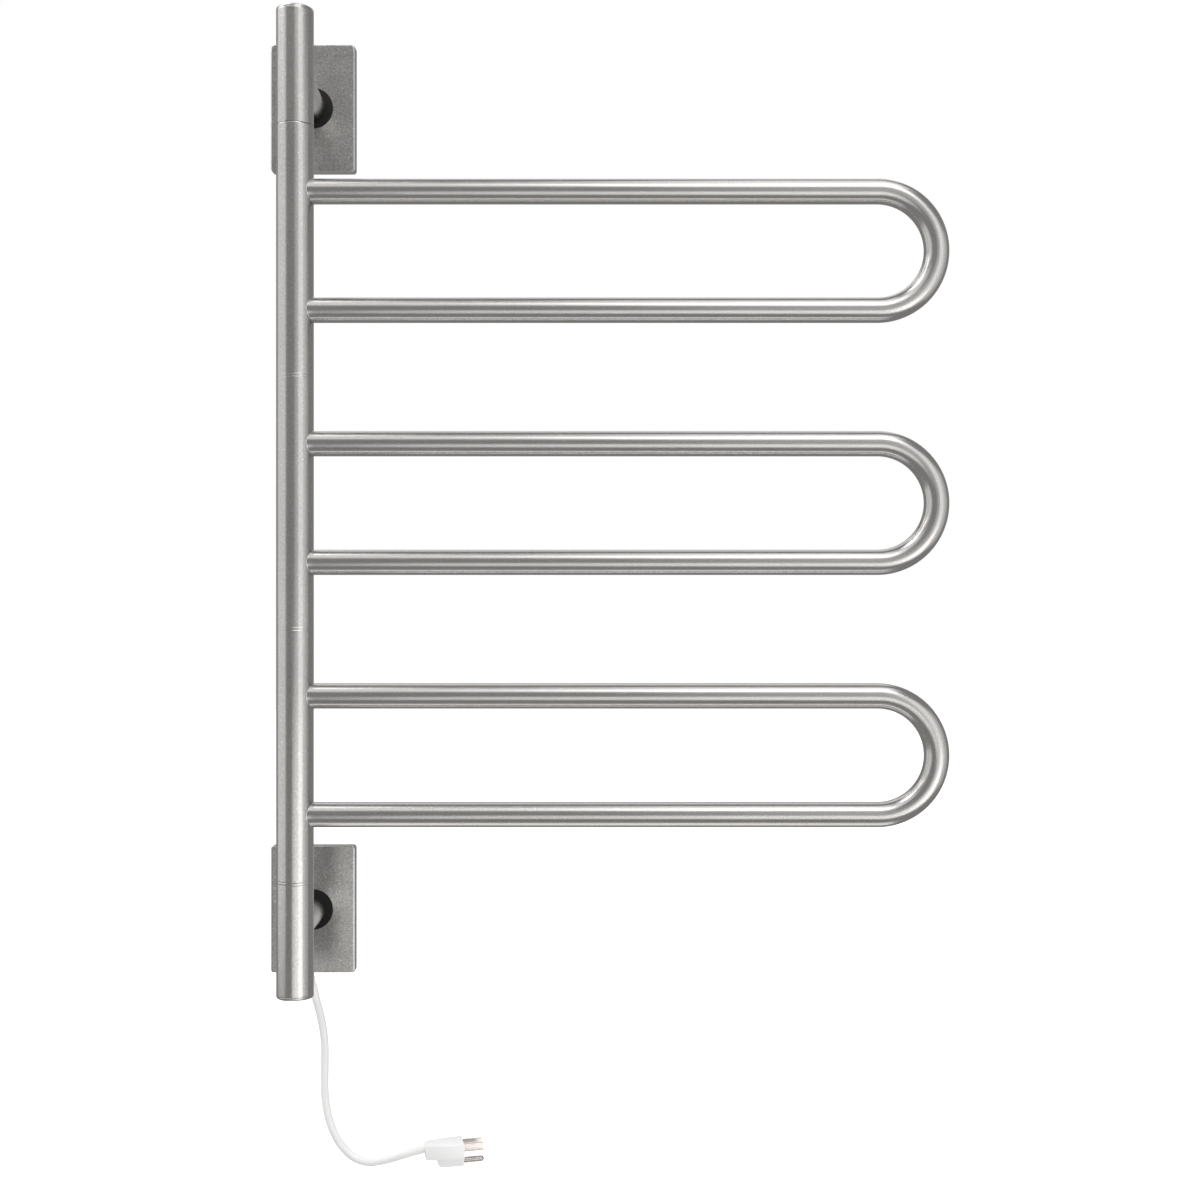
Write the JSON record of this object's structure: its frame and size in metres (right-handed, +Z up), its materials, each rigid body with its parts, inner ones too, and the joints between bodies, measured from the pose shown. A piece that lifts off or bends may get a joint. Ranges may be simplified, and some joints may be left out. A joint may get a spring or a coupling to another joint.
{
  "type": "towel warmer rack",
  "caption": "Wall-mounted swivel towel warmer: U-shaped heated bars that turn about one vertical post on two wall plates, with a cord and plug.",
  "frame": {"origin": "on the wall plane, at the centre of the wall screw pattern, which is behind the post's axis and halfway up the stack of bars", "axes": "+Z up along the post, +X along the bars at rest, -Y from the wall into the room"},
  "size_m": [0.5344, 0.1033, 0.9094],
  "materials": {
    "brushed_steel": "satin brushed stainless, grain along the tube",
    "brushed_plate": "satin stainless sheet with a fine grain",
    "zinc_steel": "zinc plated",
    "black_plastic": "matte black",
    "nylon": "natural nylon",
    "silicone_cable": "silicone insulation",
    "seal_rubber": "rubber seal",
    "brass": "plain brass",
    "white_cord": "glossy white vinyl",
    "white_plug": "moulded white vinyl",
    "nickel_blade": "pale nickel plate",
    "nickel_pin": "nickel plate"
  },
  "bodies": {
    "wall_frame": {"upper_wall_bracket": "zinc_steel", "upper_cover_plate": "brushed_plate", "upper_ring": "black_plastic", "upper_standoff": "brushed_steel", "upper_post_end": "brushed_steel", "upper_end_cap": "brushed_steel", "upper_spindle_collar": "zinc_steel", "lower_wall_bracket": "zinc_steel", "lower_cover_plate": "brushed_plate", "lower_ring": "black_plastic", "lower_standoff": "brushed_steel", "lower_post_end": "brushed_steel", "lower_end_cap": "brushed_steel", "lower_spindle_collar": "zinc_steel", "spindle": "zinc_steel", "thrust_washers": "brushed_steel", "standoff_grub_screws": "zinc_steel", "collar_grub_screws": "zinc_steel", "terminal_block": "nylon", "terminal_screws": "brass", "supply_lead": "white_cord", "wire_loom": "silicone_cable", "cord_relief": "white_cord", "cord": "white_cord", "plug_body": "white_plug", "plug_blades": "nickel_blade", "ground_pin": "nickel_pin"},
    "upper_arm": {"upper_sleeve": "brushed_steel", "upper_bar": "brushed_steel", "upper_bushes": "nylon", "upper_heating_cable": "silicone_cable", "upper_cable_seals": "seal_rubber", "upper_lead": "silicone_cable"},
    "middle_arm": {"middle_sleeve": "brushed_steel", "middle_bar": "brushed_steel", "middle_bushes": "nylon", "middle_heating_cable": "silicone_cable", "middle_cable_seals": "seal_rubber", "middle_lead": "silicone_cable"},
    "lower_arm": {"lower_sleeve": "brushed_steel", "lower_bar": "brushed_steel", "lower_bushes": "nylon", "lower_heating_cable": "silicone_cable", "lower_cable_seals": "seal_rubber", "lower_lead": "silicone_cable"}
  },
  "joints": [
    {"name": "upper_swivel", "type": "hinge", "parent": "wall_frame", "child": "upper_arm", "pos_m": [0, -0.0891, 0.1928], "axis": [0, 0, 1], "range_deg": [-180, 0]},
    {"name": "middle_swivel", "type": "hinge", "parent": "wall_frame", "child": "middle_arm", "pos_m": [0, -0.0891, 0], "axis": [0, 0, 1], "range_deg": [-180, 0]},
    {"name": "lower_swivel", "type": "hinge", "parent": "wall_frame", "child": "lower_arm", "pos_m": [0, -0.0891, -0.1928], "axis": [0, 0, 1], "range_deg": [-180, 0]}
  ]
}
